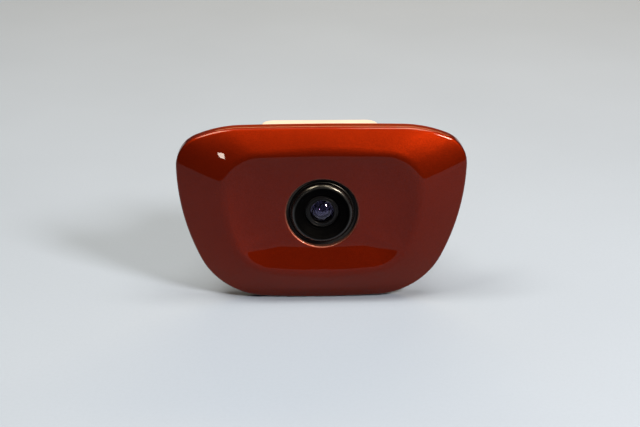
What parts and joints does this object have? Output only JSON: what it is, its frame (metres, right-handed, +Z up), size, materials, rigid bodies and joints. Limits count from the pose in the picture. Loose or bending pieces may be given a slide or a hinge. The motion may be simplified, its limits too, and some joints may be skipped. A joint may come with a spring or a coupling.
{
  "type": "backup camera",
  "caption": "Vehicle rear-view camera pod: a rounded trapezoid painted cover with a central dished lens bezel, over a camera module on a moulded bracket with a rear plug socket.",
  "frame": {"origin": "where the optical axis crosses the plane of the panel gasket's free face", "axes": "+Z up as mounted, -Y the way the lens looks, +Y into the vehicle panel, +X across the cover to the right seen from in front of it"},
  "size_m": [0.098, 0.0388, 0.0628],
  "materials": {
    "cover_paint": "burnt-orange metallic paint under a clear coat, on plastic",
    "bracket_plastic": "natural ivory, satin",
    "insert_brass": "machined",
    "gasket_foam": "closed-cell foam",
    "screw_steel": "zinc plated",
    "bezel_plastic": "gloss black",
    "case_plastic": "fine spark-eroded texture",
    "seal_rubber": "silicone",
    "vent_fabric": "porous film",
    "pin_brass": "tin plated",
    "barrel_metal": "black anodised",
    "ring_metal": "black anodised, satin",
    "front_glass": "coated glass",
    "inner_glass": "coated glass",
    "filter_glass": "coated glass",
    "spacer_metal": "matt black",
    "chip_plastic": "moulded",
    "circuit_board": "solder mask",
    "connector_plastic": "moulded",
    "component_ceramic": "fired",
    "shield_steel": "tinned"
  },
  "bodies": {
    "root": {"front_cover": "cover_paint", "mounting_bracket": "bracket_plastic", "threaded_inserts": "insert_brass", "panel_gasket": "gasket_foam", "cover_screws": "screw_steel", "camera_screws": "screw_steel", "case_screws": "screw_steel", "board_screws": "screw_steel", "camera_front_case": "case_plastic", "nose_bezel": "bezel_plastic", "case_gasket": "seal_rubber", "nose_seal": "gasket_foam", "camera_rear_case": "case_plastic", "vent_membrane": "vent_fabric", "contact_pins": "pin_brass", "lens_barrel": "barrel_metal", "barrel_o_ring": "seal_rubber", "lens_retaining_ring": "ring_metal", "front_lens": "front_glass", "second_lens": "inner_glass", "third_lens": "inner_glass", "fourth_lens": "inner_glass", "fifth_lens": "inner_glass", "front_lens_spacer": "spacer_metal", "stop_spacer": "spacer_metal", "aperture_stop": "spacer_metal", "rear_lens_spacer": "spacer_metal", "infrared_filter": "filter_glass", "lens_holder": "case_plastic", "image_sensor": "chip_plastic", "sensor_glass": "filter_glass", "sensor_board": "circuit_board", "board_connector": "connector_plastic", "processor_board": "circuit_board", "video_processor": "chip_plastic", "board_components": "component_ceramic", "board_shield": "shield_steel"}
  },
  "joints": []
}
